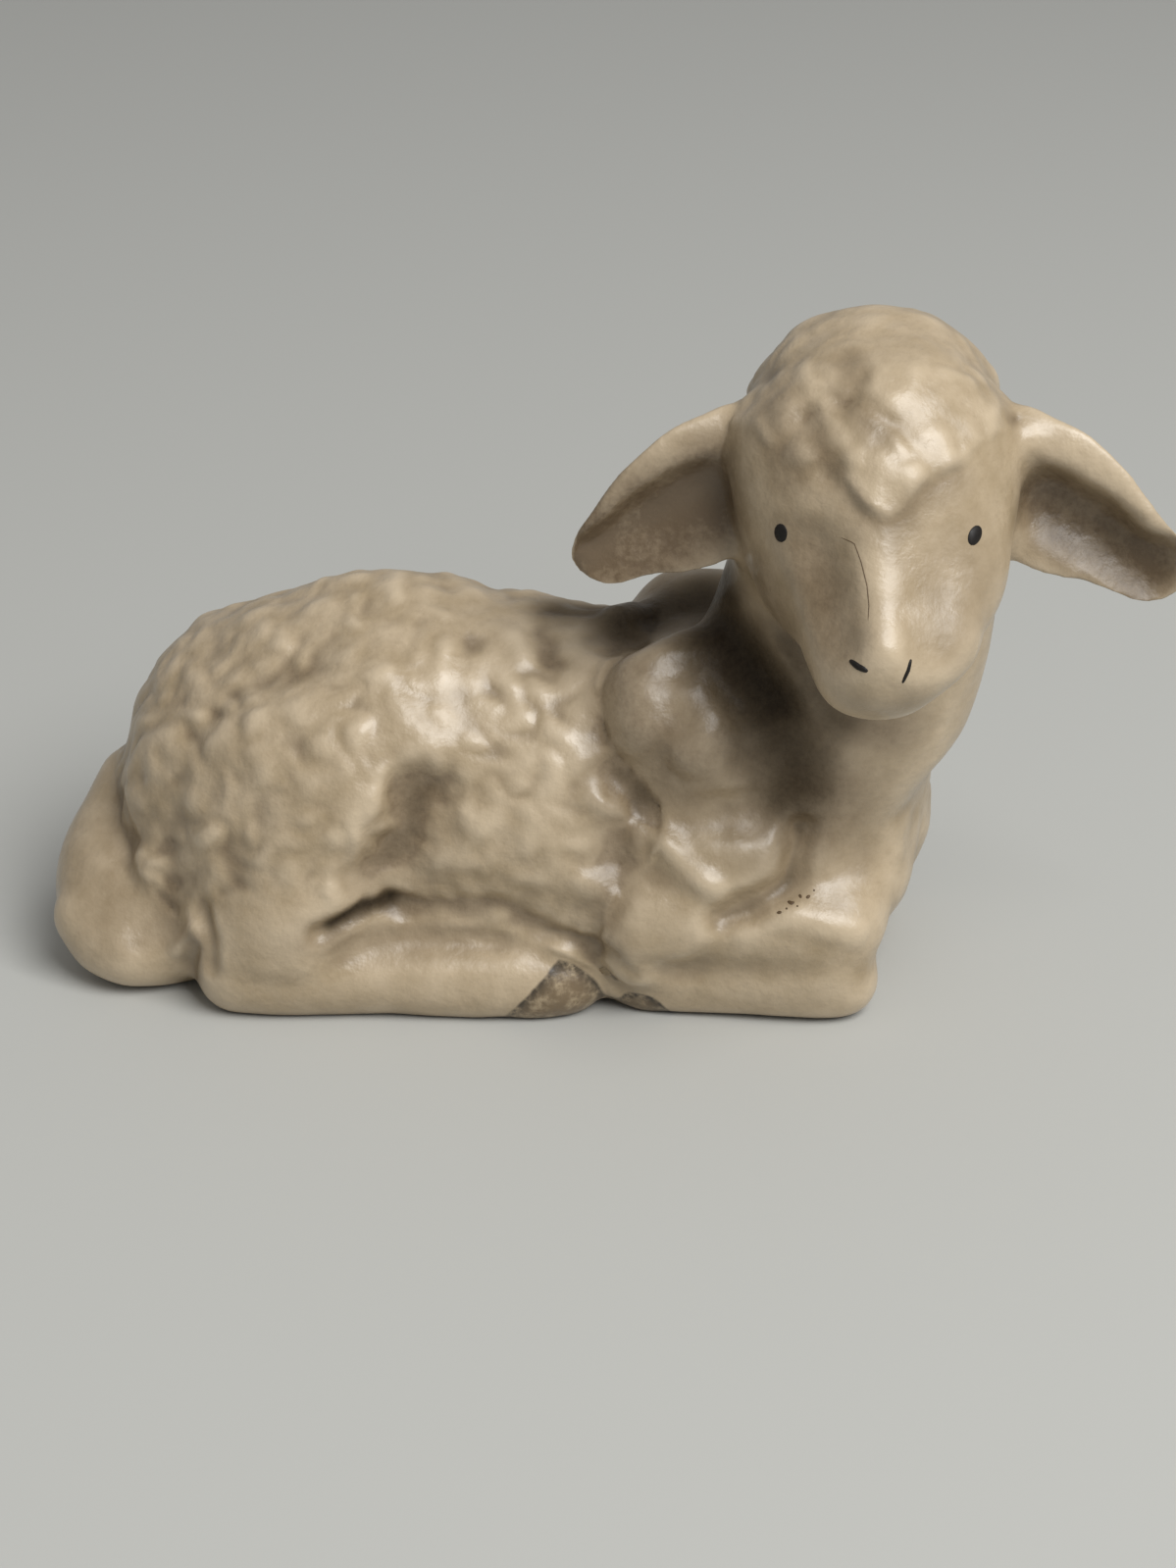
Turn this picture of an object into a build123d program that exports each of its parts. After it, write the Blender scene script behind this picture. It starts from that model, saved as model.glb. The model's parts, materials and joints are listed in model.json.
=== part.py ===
"""A lamb lying down with its head turned to its right: a small glazed earthenware ornament.

The figure is put together from castings that are luted to each other with slip before firing: a hollow
woolly coat with a pour hole underneath, the forequarters, the neck, the head, two ears, four folded legs
and a tail. The hooves, eyes and nostrils are areas of dark glaze, each kept as its own solid.

Millimetres, +Z up, +X towards the chest, +Y to the lamb's left. The origin lies on the surface that the
lamb rests on, under the middle of its body.
"""

import os
from math import cos, pi, radians, sin, sqrt

from build123d import *

# Coat
body_length = 56.5
body_width = 25.0
body_height = 26.2
rump_dome = 8.6
underside_cut = 1.6
cast_wall = 3.0
pour_hole_diameter = 8.0
haunch_length = 22.0
haunch_width = 13.0
haunch_height = 24.0

# Forequarters
forequarter_width = 20.6
forequarter_height = 24.6
breast_dome = 4.0
shoulder_length = 12.5
shoulder_width = 9.0
shoulder_height = 15.0
upper_arm_length = 14.0
upper_arm_width = 8.0
upper_arm_height = 11.5

# Head and neck
head_forward = 23.2
head_aside = 5.0
head_rise = 39.6
head_length = 27.0
head_width = 18.8
head_height = 18.4
neck_width = 16.5
neck_depth = 19.0
neck_bow = 2.0

# Ears
ear_length = 13.8
ear_width = 10.2
ear_thickness = 2.0
ear_cup = 1.8

# Legs, hooves and tail
hind_leg_length = 25.0
hind_leg_thickness = 7.6
hind_toe_in = 2.4
toe_gap = 0.48
fore_toe_out = 1.0
cannon_thickness = 5.8
forearm_thickness = 7.8
hind_hoof_length = 7.0
fore_hoof_length = 4.0
tail_reach = 4.4
tail_sweep = 13.0
tail_rise = 11.5
tail_thickness = 9.0

# Dark glaze
eye_width = 1.05
eye_height = 1.3
nostril_length = 1.7
nostril_width = 0.45
glaze_depth = 0.4

# Directions, in degrees
head_turn = 84.0
head_nod = 28.0
ear_droop = 29.5
ear_sweep = 4.0
haunch_lean = 22.0
shoulder_lean = -15.0
upper_arm_lean = 60.0
hoof_slant = 40.0
eye_turn = 35.0
eye_lift = 13.5
nostril_turn = 4.8
nostril_lift = 1.0
nostril_lean = 30.0

SIDES = {"right": -1, "left": 1}
# Handles of a quarter oval, and the ovals that round off the ends of a form
handle_share = 0.5523
DOME_SHARES = (0.5, 0.85, 0.97)
waist_share = 0.5

# Each row: place along the body, share of the width, share of the height
COAT_SHARES = ((0.135, 0.93, 0.9), (0.288, 1.0, 1.0), (0.465, 0.99, 0.985), (0.6, 0.94, 0.95))
FOREQUARTER_SHARES = ((0.57, 1.0, 0.97), (0.712, 1.0, 1.0), (0.82, 0.95, 0.9), (0.905, 0.76, 0.68))
# Places of the bulges: along the body, out from its middle and up, as shares of its three sizes
haunch_place_shares = (0.255, 0.3, 0.42)
shoulder_place_shares = (0.71, 0.3, 0.8)
upper_arm_place_shares = (0.745, 0.36, 0.41)
pour_hole_place_share = 0.3
# Each row: place from the foot of the neck to the head, share of the width, share of the depth
NECK_SHARES = ((0.0, 1.08, 1.08), (0.33, 1.03, 1.02), (0.62, 0.98, 0.97), (0.88, 0.94, 0.92))
neck_foot_shares = (0.79, 0.5)
# Each row: place forward of the skull's middle, drop, share of the width, share of the height
HEAD_SHARES = (
    (-0.19, 0.0, 0.86, 0.84),
    (0.0, 0.0, 1.0, 1.0),
    (0.17, 0.04, 0.95, 0.90),
    (0.33, 0.09, 0.74, 0.70),
    (0.48, 0.12, 0.53, 0.52),
    (0.58, 0.13, 0.46, 0.43),
)
skull_dome_share = 0.145
muzzle_dome_share = 0.095
# Each row: place along the ear, share of the width, of the thickness and of the cup's depth
EAR_SHARES = ((0.0, 0.86, 1.6, 0.3), (0.25, 0.97, 1.2, 0.8), (0.5, 0.87, 1.0, 1.0), (0.75, 0.62, 0.9, 0.8))
ear_root_shares = (0.40, 0.01, 0.02)
ear_tip_share = 0.25
# Ends of each leg segment: along the body, out from its middle, and up in the segment's thicknesses
hock_place_shares = (0.175, 0.94, 0.4)
stifle_place_shares = (0.25, 0.84, 0.95)
knee_place_shares = (0.895, 0.72, 0.42)
forearm_place_shares = (0.885, 0.72, 0.9)
elbow_place_shares = (0.68, 0.88, 1.02)
# Each row: place along the segment, share of the thickness
SHANK_SHARES = ((0.0, 1.0), (0.3, 0.9), (0.6, 0.9), (0.8, 0.84))
HOCK_SHARES = ((0.0, 1.0), (1.0, 1.0))
CANNON_SHARES = ((0.0, 1.06), (0.45, 0.98), (0.82, 0.86))
FOREARM_SHARES = ((0.0, 0.98), (0.5, 0.96), (1.0, 1.0))
# Each row: reach behind the rump, sweep aside, rise, share of the thickness
TAIL_SHARES = (
    (0.0, 0.08, 0.92, 0.72),
    (0.15, 0.34, 0.58, 0.98),
    (-0.1, 0.6, 0.36, 1.0),
    (-0.7, 0.8, 0.26, 0.72),
)

UP = Vector(0, 0, 1)
ACROSS = Vector(0, 1, 0)


def oval(centre, along, side, half_wide, half_high, bend=0.0):
    """A smooth closed outline square to along, bent like a trough where bend isn't zero."""
    plane = Plane(origin=centre, x_dir=side, z_dir=along)
    quarters = []
    for x, y in ((1, 1), (-1, 1), (-1, -1), (1, -1)):
        tip = (x * half_wide, -bend)
        tip_handle = (x * half_wide, y * half_high * handle_share - bend)
        crown_handle = (x * half_wide * handle_share, y * half_high)
        crown = (0, y * half_high)
        corners = [tip, tip_handle, crown_handle, crown]
        if x * y < 0:
            corners.reverse()
        quarters.append(Bezier(*[plane.from_local_coords(corner) for corner in corners]))
    return Face(Wire(quarters))


def pod(stations, side, start_dome, end_dome):
    """A swelling solid with domed ends through stations of (centre, half width, half height, bend)."""
    centres = [Vector(*station[0]) for station in stations]
    last = len(centres) - 1
    ways = [(centres[min(n + 1, last)] - centres[max(n - 1, 0)]).normalized() for n in range(last + 1)]

    def dome(n, reach):
        """The ovals that close one end, after one inside it that keeps the form from waisting there."""
        inner = n + 1 if n == 0 else n - 1
        share = min(waist_share, waist_share * abs(reach) / (centres[inner] - centres[n]).length)
        sizes = [a + (b - a) * share for a, b in zip(stations[n][1:], stations[inner][1:])]
        way = (ways[n] + (ways[inner] - ways[n]) * share).normalized()
        ovals = [oval(centres[n] + (centres[inner] - centres[n]) * share, way, side, *sizes)]
        ovals.append(oval(centres[n], ways[n], side, *stations[n][1:]))
        for share in DOME_SHARES:
            sizes = [size * sqrt(1 - share**2) for size in stations[n][1:]]
            ovals.append(oval(centres[n] + ways[n] * (reach * share), ways[n], side, *sizes))
        return [*ovals, Vertex(*(centres[n] + ways[n] * reach))]

    middle = [oval(centres[n], ways[n], side, *stations[n][1:]) for n in range(1, last)]
    return loft([*reversed(dome(0, -start_dome)), *middle, *dome(last, end_dome)])


def ellipsoid(length, width, height):
    """A ball stretched to its length, width and height."""
    return scale(Sphere(1), by=(length / 2, width / 2, height / 2))


def standing(shape):
    """The part of a shape above the ground, which leaves a flat face to rest on."""
    return split(shape, bisect_by=Plane.XY, keep=Keep.TOP)


def largest(shape):
    """The main solid of a shape, without the chips that a cut may leave."""
    return max(shape.solids(), key=lambda solid: solid.volume)


def trimmed(shape, *others):
    """A casting cut back to meet the castings that it is luted to."""
    for other in others:
        shape = largest(shape - other)
    return shape


def on_body(share):
    """A place along the body, from 0 at the rump to 1 at the breast."""
    return (share - 1 / 2) * body_length


def barrel(rows, width, height, start_dome, end_dome, inset=0.0):
    """A rounded trunk along the body, its ovals dipping under the ground by the underside cut."""
    stations = [
        (
            (on_body(place), 0, (height * high - underside_cut) / 2),
            width * wide / 2 - inset,
            (height * high + underside_cut) / 2 - inset,
        )
        for place, wide, high in rows
    ]
    return pod(stations, ACROSS, start_dome - inset, end_dome - inset)


def bulges(bulge, place_shares, width, height, lean):
    """A pair of swellings, one on each side of a trunk."""
    along, out, up = place_shares
    places = [Pos(on_body(along), sign * width * out, height * up) for sign in SIDES.values()]
    return [place * Rot(0, lean, 0) * bulge for place in places]


def limb(rows, start, end, thickness, start_dome, end_dome):
    """A round segment of a leg with domed ends, turned about the line from start to end."""
    reach = (end - start).length
    points = [(thickness * thick / 2, reach * along) for along, thick in rows]

    def dome(base, height):
        radius, level = base
        rounded = [(radius * sqrt(1 - share**2), level + height * share) for share in DOME_SHARES]
        return [*rounded, (0, level + height)]

    points = [*reversed(dome(points[0], -start_dome)), *points, *dome(points[-1], end_dome)]
    profile = make_face([Spline(*points), Line(points[-1], points[0])])
    return Plane(start, z_dir=end - start) * revolve(Plane.XZ * profile, Axis.Z)


def leg_point(place_shares, width, thickness):
    """An end of a leg segment, on the side that the sign of the width gives."""
    along, out, up = place_shares
    return Vector(on_body(along), width * out / 2, thickness * up)


def toe_and_rest(segment, toe, hoof_length, way):
    """The dark tip of a leg's last segment, ahead of a slanted edge, and the rest of the segment."""
    slant = radians(hoof_slant)
    edge = Plane(Vector(toe.X - way * hoof_length, 0, 0), z_dir=(way * cos(slant), 0, -sin(slant)))
    return [split(segment, bisect_by=edge, keep=keep) for keep in (Keep.TOP, Keep.BOTTOM)]


# Coat: a barrel with two haunches, hollow, open at the pour hole
coat = barrel(COAT_SHARES, body_width, body_height, rump_dome, rump_dome)
haunch = ellipsoid(haunch_length, haunch_width, haunch_height)
for bulge in bulges(haunch, haunch_place_shares, body_width, body_height, haunch_lean):
    coat += bulge
coat = standing(coat)
hollow = barrel(COAT_SHARES, body_width, body_height, rump_dome, rump_dome, inset=cast_wall)
hollow = split(hollow, bisect_by=Plane.XY.offset(cast_wall), keep=Keep.TOP)
pour_hole = Cylinder(pour_hole_diameter / 2, 4 * cast_wall)
solid_coat = coat
coat = largest(coat - hollow - Pos(on_body(pour_hole_place_share), 0, 0) * pour_hole)

# Forequarters: the trunk ahead of the coat, with shoulders and upper arms
forequarters = barrel(FOREQUARTER_SHARES, forequarter_width, forequarter_height, breast_dome, breast_dome)
shoulder = ellipsoid(shoulder_length, shoulder_width, shoulder_height)
upper_arm = ellipsoid(upper_arm_length, upper_arm_width, upper_arm_height)
for bulge, place_shares, lean in (
    (shoulder, shoulder_place_shares, shoulder_lean),
    (upper_arm, upper_arm_place_shares, upper_arm_lean),
):
    for swelling in bulges(bulge, place_shares, forequarter_width, forequarter_height, lean):
        forequarters += swelling
forequarters = trimmed(standing(forequarters), solid_coat)

# Head, turned aside and nodding
head_centre = Vector(head_forward, -head_aside, head_rise)
turn, nod = radians(head_turn), radians(head_nod)
level_way = Vector(cos(turn), -sin(turn), 0)
head_side = Vector(sin(turn), cos(turn), 0)
head_frame = Plane(origin=head_centre, x_dir=head_side, z_dir=level_way * cos(nod) - UP * sin(nod))
head_stations = [
    (
        head_frame.from_local_coords((0, -drop * head_height, place * head_length)),
        head_width * wide / 2,
        head_height * high / 2,
    )
    for place, drop, wide, high in HEAD_SHARES
]
head = pod(head_stations, head_side, head_length * skull_dome_share, head_length * muzzle_dome_share)

# Neck, from the trunk to the back of the head
neck_foot = Vector(on_body(neck_foot_shares[0]), 0, forequarter_height * neck_foot_shares[1])
neck_stations = [
    (
        neck_foot + (head_centre - neck_foot) * place + Vector(neck_bow * sin(pi * place), 0, 0),
        neck_width * wide / 2,
        neck_depth * deep / 2,
    )
    for place, wide, deep in NECK_SHARES
]
neck = pod(neck_stations, ACROSS, neck_width / 4, neck_width / 4)
neck = trimmed(neck, solid_coat, forequarters, head)

# Ears: cupped leaves that hang out from the sides of the head and open forward
ears = {}
droop, sweep = radians(ear_droop), radians(ear_sweep)
for name, sign in SIDES.items():
    # The lamb's left ear lies on the positive side of the turned head
    way = (head_side * (sign * cos(droop)) - UP * sin(droop) + level_way * sin(sweep)).normalized()
    out, up, ahead = ear_root_shares
    root = head_centre + head_side * (sign * out * head_width)
    root += UP * (up * head_height) + level_way * (ahead * head_length)
    ear_stations = [
        (root + way * (ear_length * place), ear_width * wide / 2, ear_thickness * thick / 2, ear_cup * cup)
        for place, wide, thick, cup in EAR_SHARES
    ]
    ear = pod(ear_stations, UP * -sign, ear_thickness, ear_length * ear_tip_share)
    ears[name] = trimmed(ear, head, neck)

# Legs, folded on the ground, with dark hooves at their toes
hind_legs, forelegs, hooves = {}, {}, {}
for name, sign in SIDES.items():
    hock = leg_point(hock_place_shares, sign * body_width, hind_leg_thickness)
    hind_toe = hock + Vector(hind_leg_length, -sign * hind_toe_in, -underside_cut / 2)
    shank_tip = hind_leg_length * (1 - SHANK_SHARES[-1][0])
    shank = limb(SHANK_SHARES, hock, hind_toe, hind_leg_thickness, hind_leg_thickness / 2, shank_tip)
    hind_hoof, shank = toe_and_rest(standing(shank), hind_toe, hind_hoof_length, 1)
    stifle = leg_point(stifle_place_shares, sign * body_width, hind_leg_thickness)
    hock_bend = limb(HOCK_SHARES, hock, stifle, hind_leg_thickness, *[hind_leg_thickness / 2] * 2)
    hind_leg = standing(shank + trimmed(hock_bend, hind_hoof))
    hind_legs[name] = trimmed(hind_leg, solid_coat, forequarters)
    hooves[f"{name}_hind_hoof"] = hind_hoof = trimmed(hind_hoof, solid_coat, forequarters)

    # The fore toe lies just ahead of the hind toe
    knee = leg_point(knee_place_shares, sign * forequarter_width, cannon_thickness)
    fore_toe = Vector(hind_toe.X + toe_gap, knee.Y + sign * fore_toe_out, knee.Z - underside_cut / 2)
    cannon_tip = (knee.X - fore_toe.X) * (1 - CANNON_SHARES[-1][0])
    cannon = limb(CANNON_SHARES, knee, fore_toe, cannon_thickness, cannon_thickness / 2, cannon_tip)
    fore_hoof, cannon = toe_and_rest(standing(cannon), fore_toe, fore_hoof_length, -1)
    wrist = leg_point(forearm_place_shares, sign * forequarter_width, forearm_thickness)
    elbow = leg_point(elbow_place_shares, sign * forequarter_width, forearm_thickness)
    forearm = limb(FOREARM_SHARES, wrist, elbow, forearm_thickness, *[forearm_thickness / 2] * 2)
    foreleg = standing(cannon + trimmed(forearm, fore_hoof))
    forelegs[name] = trimmed(foreleg, solid_coat, forequarters, neck, hind_legs[name], hind_hoof)
    hooves[f"{name}_fore_hoof"] = trimmed(fore_hoof, solid_coat, forequarters)

# Tail, curled to the lamb's right
tail_stations = [
    (
        (on_body(0) - tail_reach * back, -tail_sweep * aside, tail_rise * up),
        tail_thickness * thick / 2,
        tail_thickness * thick / 2,
    )
    for back, aside, up, thick in TAIL_SHARES
]
tail = pod(tail_stations, UP, tail_thickness / 3, tail_thickness / 5)
tail = trimmed(standing(tail), solid_coat, *hind_legs.values())

# Eyes and nostrils: marks of dark glaze, let into the head
eye_outline = Ellipse(eye_width / 2, eye_height / 2)
nostril_outline = SlotOverall(nostril_length, nostril_width)
marks = {}
skull = head
for name, sign in SIDES.items():
    for kind, outline, aside, lift, lean in (
        ("eye", eye_outline, eye_turn, eye_lift, 0),
        ("nostril", nostril_outline, nostril_turn, nostril_lift, nostril_lean),
    ):
        local_way = Vector(0, 0, 1).rotate(Axis.X, -lift).rotate(Axis.Y, sign * aside)
        way = head_frame.from_local_coords(local_way) - head_centre
        hits = skull.find_intersection_points(Axis(head_centre, way))
        point, normal = max(hits, key=lambda hit: (hit[0] - head_centre).dot(way))
        spot = Plane(point, x_dir=head_side, z_dir=normal)
        prism = extrude(spot * Rot(0, 0, sign * lean) * outline, amount=glaze_depth, both=True)
        marks[f"{name}_{kind}"] = largest(skull & prism)
        head = largest(head - prism)

parts = {"coat": coat, "forequarters": forequarters, "neck": neck, "head": head, "tail": tail}
for name in SIDES:
    parts[f"{name}_ear"] = ears[name]
    parts[f"{name}_hind_leg"] = hind_legs[name]
    parts[f"{name}_foreleg"] = forelegs[name]
parts |= hooves | marks

os.makedirs("parts", exist_ok=True)
for name, shape in parts.items():
    export_step(shape, f"parts/{name}.step")
    print(name, shape.is_valid, round(shape.volume, 2))
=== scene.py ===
"""The finish of a glazed earthenware lamb: one modelled skin over the castings, cut into the same pieces.

The castings are joined and remeshed as one skin, because the maker wipes the joints smooth before firing.
The skin is then modelled as the lamb was: pulls and strokes first, then wool over the coat and the crown, and
glaze that is browner in the hollows, with painted shade in creases and recesses and painted highlight on
crests. At the end it is cut again into one closed piece for each casting.

Metres, in the frame of the castings: +Z up, +X towards the chest, +Y to the lamb's left. Pixels are those of
the photograph, and each falls on the skin where a ray from the camera meets it.
"""

import json
import math

import bmesh
import bpy
import numpy as np
from numpy.linalg import norm
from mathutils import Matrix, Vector, noise
from mathutils.bvhtree import BVHTree


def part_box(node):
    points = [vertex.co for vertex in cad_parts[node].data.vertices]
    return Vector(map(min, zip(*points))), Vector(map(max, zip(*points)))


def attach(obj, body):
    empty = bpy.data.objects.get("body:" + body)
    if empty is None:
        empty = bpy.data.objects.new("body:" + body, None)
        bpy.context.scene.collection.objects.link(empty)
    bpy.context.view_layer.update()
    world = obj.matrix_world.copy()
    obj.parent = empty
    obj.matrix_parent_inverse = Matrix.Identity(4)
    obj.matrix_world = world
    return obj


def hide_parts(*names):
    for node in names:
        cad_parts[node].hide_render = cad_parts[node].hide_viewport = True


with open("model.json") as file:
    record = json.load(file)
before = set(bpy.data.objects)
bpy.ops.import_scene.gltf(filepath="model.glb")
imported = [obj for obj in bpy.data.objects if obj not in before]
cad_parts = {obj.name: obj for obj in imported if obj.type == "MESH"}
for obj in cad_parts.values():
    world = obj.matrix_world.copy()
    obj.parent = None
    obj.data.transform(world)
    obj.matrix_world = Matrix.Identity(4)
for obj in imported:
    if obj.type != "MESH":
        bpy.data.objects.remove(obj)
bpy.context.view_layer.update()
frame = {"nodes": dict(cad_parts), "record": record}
scene = bpy.context.scene

MM = 0.001
SEED = 7

# The photograph's view; the sensor's width is in millimetres
IMAGE_WIDTH, IMAGE_HEIGHT = 1199, 1599
FOCAL_PX = 3243
SENSOR = 36
VIEW_AZIMUTH = math.radians(8)
VIEW_ELEVATION = math.radians(26)
VIEW_DISTANCE = 230 * MM
AIM_POINT = Vector((-4 * MM, 0, 0))
AIM_PX = (490, 950)
CLIP_START = 0.01

# The skin
SKIN_GRID = 0.26 * MM
LUTING = 0.15 * MM
WELD = LUTING / 100
RIM_DEPTH = 0.5 * MM
PLUG_SIDES = 48
MARKS = ("right_eye", "left_eye", "right_nostril", "left_nostril")
CASTINGS = [name for name in frame["nodes"] if name not in MARKS]

# Rounds of evening out
LABEL_ROUNDS = 4
SEAM_ROUNDS = 12
FIRST_ROUNDS = 8
WIPING_ROUNDS = 160
JOINT_ROUNDS = 40
CASTING_ROUNDS = 20
PULL_ROUNDS = 10
STROKE_ROUNDS = 5

# How far each joint, and each casting as a whole, is wiped smooth; other joints take the first value
JOINT_SOFTNESS = {
    "any": 1.0,
    "coat forequarters": 0.5,
    "coat tail": 0.3,
    "head neck": 0.3,
    "coat neck": 0.6,
}
CASTING_SOFTNESS = {
    "forequarters": 1.0,
    "neck": 0.6,
    "right_foreleg": 0.35,
    "left_foreleg": 0.35,
}
# The blurred joints are strengthened, clipped and then eased
JOINT_GAIN = 6
JOINT_EASE = 3

# Pads of clay that fill a joint: radius and height in millimetres, if the far side has one, path in pixels
PADS = {
    "thigh": (3.6, 1.3, True, ((218, 938), (260, 940), (300, 936), (322, 928))),
    "hock": (3.0, 0.8, True, ((232, 962), (268, 966), (300, 966))),
    "withers": (1.8, 0.9, False, ((632, 638), (655, 633), (678, 627))),
    "elbow": (2.4, 1.6, True, ((628, 930), (634, 954), (650, 976))),
    "elbow foot": (1.7, 1.0, True, ((650, 990), (675, 992), (705, 988))),
    "toe band": (1.6, 0.5, True, ((598, 960), (613, 974), (626, 992))),
    "toes": (1.3, 0.3, True, ((634, 1008), (642, 1010))),
    "cannon": (1.6, 0.9, True, ((690, 994), (740, 998), (800, 999), (850, 998))),
    "tail root": (2.4, 1.2, False, ((166, 885), (176, 908), (186, 935))),
    "tail end": (2.8, 0.8, False, ((88, 935), (103, 958), (126, 970), (155, 970), (186, 966))),
}
# A pad is a row of balls: their spacing as a share of the radius, and how fine they are
PAD_STEP = 0.25
PAD_FINENESS = 3

# Places where the pads are wiped in: width in millimetres, if the far side has one, path in pixels
WIPES = {
    "thigh": (6.0, True, ((222, 912), (268, 910), (315, 908))),
    "hock": (3.5, True, ((222, 950), (250, 955))),
    "tail end": (4.5, False, ((95, 945), (140, 965), (180, 965))),
    "toe band": (2.6, True, ((598, 955), (618, 972))),
    "elbow": (4.0, True, ((612, 920), (622, 950))),
}

# Pulls: the casting, the reach in millimetres, the pixel it is held by and the pixel it is pulled to
PULLS = {
    "rump": ("coat", 9.0, (156, 690), (168, 699)),
    "back": ("coat", 10.0, (335, 604), (335, 594)),
    "loin": ("coat", 9.0, (440, 602), (440, 594)),
    "right cheek": ("head", 6.0, (790, 630), (777, 637)),
    "left cheek": ("head", 7.0, (990, 615), (1014, 624)),
    "left jowl": ("head", 4.5, (966, 662), (982, 668)),
    "right temple": ("head", 7.0, (762, 450), (754, 446)),
    "left lip": ("head", 4.0, (955, 690), (943, 690)),
    "right lip": ("head", 4.0, (834, 690), (839, 690)),
    "right ear tip": ("right_ear", 5.0, (592, 548), (595, 563)),
    "left ear tip": ("left_ear", 6.0, (1183, 560), (1197, 586)),
}

# Paths in pixels that are both modelled and painted, or painted twice
TOE_CREST_PX = ((566, 964), (594, 974), (613, 991), (626, 1008))
TAIL_TIP_HOLLOW_PX = ((146, 950), (172, 944))
LEFT_CURL_PX = ((848, 480), (834, 452), (820, 424))
UPPER_CURL_PX = ((862, 362), (869, 385), (858, 406))
MIDDLE_CURL_PX = ((872, 412), (886, 430), (900, 440))
LEFT_EAR_UNDER_PX = ((1085, 540), (1130, 568), (1165, 590))

# Modelling strokes: width and height in millimetres, if the far side has one, path in pixels
STROKES = {
    "haunch swell": (6.5, 0.7, True, ((395, 720), (390, 790), (365, 845), (330, 890), (295, 920))),
    "haunch crease": (3.2, -1.3, True, ((430, 808), (420, 835), (404, 860), (378, 895))),
    "flank hollow": (4.8, -0.6, True, ((445, 825), (432, 865), (415, 905))),
    "groin recess": (1.3, -0.9, True, ((402, 926), (372, 930), (342, 944), (326, 952))),
    "belly tuck": (2.4, -0.4, True, ((440, 905), (480, 910), (515, 914))),
    "shank hollow": (2.4, -0.25, True, ((325, 962), (370, 965), (430, 962), (500, 957))),
    "shank crease": (1.5, -0.4, True, ((420, 930), (465, 928), (510, 928), (540, 939), (562, 949))),
    "shank crest": (1.5, 0.3, True, ((410, 942), (450, 942), (500, 941), (540, 954), (572, 968))),
    "toe crease": (1.3, -0.4, True, ((606, 964), (625, 978), (640, 998))),
    "hem swell": (2.6, 0.5, True, ((570, 903), (600, 908))),
    "coat hem": (2.2, -0.5, True, ((648, 830), (634, 852), (627, 875), (624, 905), (614, 925))),
    "upper hem tuft": (1.6, 0.5, True, ((612, 815), (628, 824))),
    "middle hem tuft": (1.6, 0.2, True, ((596, 893), (610, 901))),
    "lower hem tuft": (1.5, 0.45, True, ((578, 935), (590, 941))),
    "toe crest": (1.1, 0.5, True, TOE_CREST_PX),
    "tail tip edge": (1.0, 0.4, False, ((200, 945), (192, 957), (181, 970))),
    "tail tip hollow": (2.2, -0.35, False, TAIL_TIP_HOLLOW_PX),
    "tail tip end": (1.3, -0.5, False, ((196, 966), (192, 985))),
    "tail crease": (1.2, -0.7, False, ((205, 930), (212, 958), (212, 985))),
    "shoulder upper lump": (3.0, 0.5, True, ((645, 690), (650, 735))),
    "shoulder lower lump": (2.8, 0.8, True, ((705, 765), (738, 748))),
    "shoulder groove": (2.4, -0.4, True, ((688, 690), (690, 740), (670, 790))),
    "elbow crease": (2.4, -0.7, True, ((632, 800), (660, 822), (710, 832), (770, 828))),
    "arm lobe": (4.0, 0.8, True, ((690, 850), (730, 880), (770, 875))),
    "arm edge": (1.8, -1.1, True, ((815, 850), (806, 893), (780, 921), (737, 938))),
    "arm ridge": (1.4, 0.5, True, ((680, 858), (705, 890), (728, 905))),
    "elbow lobe": (5.0, 0.2, True, ((645, 920), (680, 950))),
    "elbow edge": (1.8, -0.35, True, ((655, 990), (700, 988), (735, 965))),
    "knee ridge": (1.6, 0.4, True, ((790, 930), (830, 940), (870, 952))),
    "far arm": (6.0, -1.0, False, ((950, 815), (950, 850))),
    "neck recess": (4.5, -1.0, False, ((735, 660), (775, 715), (800, 775))),
    "forelock": (3.2, 0.4, False, ((888, 466), (910, 490))),
    "left curl": (1.5, -0.4, False, LEFT_CURL_PX),
    "upper curl": (1.5, -0.35, False, UPPER_CURL_PX),
    "middle curl": (1.5, -0.35, False, MIDDLE_CURL_PX),
    "bridge dip": (1.5, -0.15, False, ((885, 622), (915, 622))),
    "snout ridge": (2.2, 0.35, False, ((893, 545), (897, 600), (900, 655))),
    "right snout side": (2.8, -0.7, False, ((832, 560), (845, 620), (852, 655))),
    "left snout side": (2.8, -0.3, False, ((965, 570), (955, 620), (948, 655))),
    "right ear cup": (3.4, -0.9, False, ((712, 506), (680, 525), (643, 545), (612, 560))),
    "right ear rim": (1.8, 0.4, False, ((727, 453), (676, 473), (631, 505), (600, 540))),
    "left ear cup": (3.2, -1.2, False, ((1072, 512), (1106, 530), (1150, 562), (1175, 578))),
    "left ear rim": (1.8, 0.6, False, ((1050, 450), (1093, 470), (1138, 500), (1170, 535))),
}
# A stroke works only on skin that faces its way: gain and start
STROKE_FACING = (2, 0.5)

# Noises: size of the lumps in millimetres, and a number that sets each noise apart
NOISE_SHIFT = (7.1, 3.3, 5.7)
LUMP_NOISE = (3.6, 1)
SWELL_NOISE = (4.5, 2)
RIPPLE_NOISE = (2, 9)
TUFT_NOISE = (2.3, 7)
WARP_NOISES = ((3, 4), (3, 5), (3, 6))
CROWN_EDGE_NOISE = (2, 3)
CROWN_BACK_NOISE = (4, 8)

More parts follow.
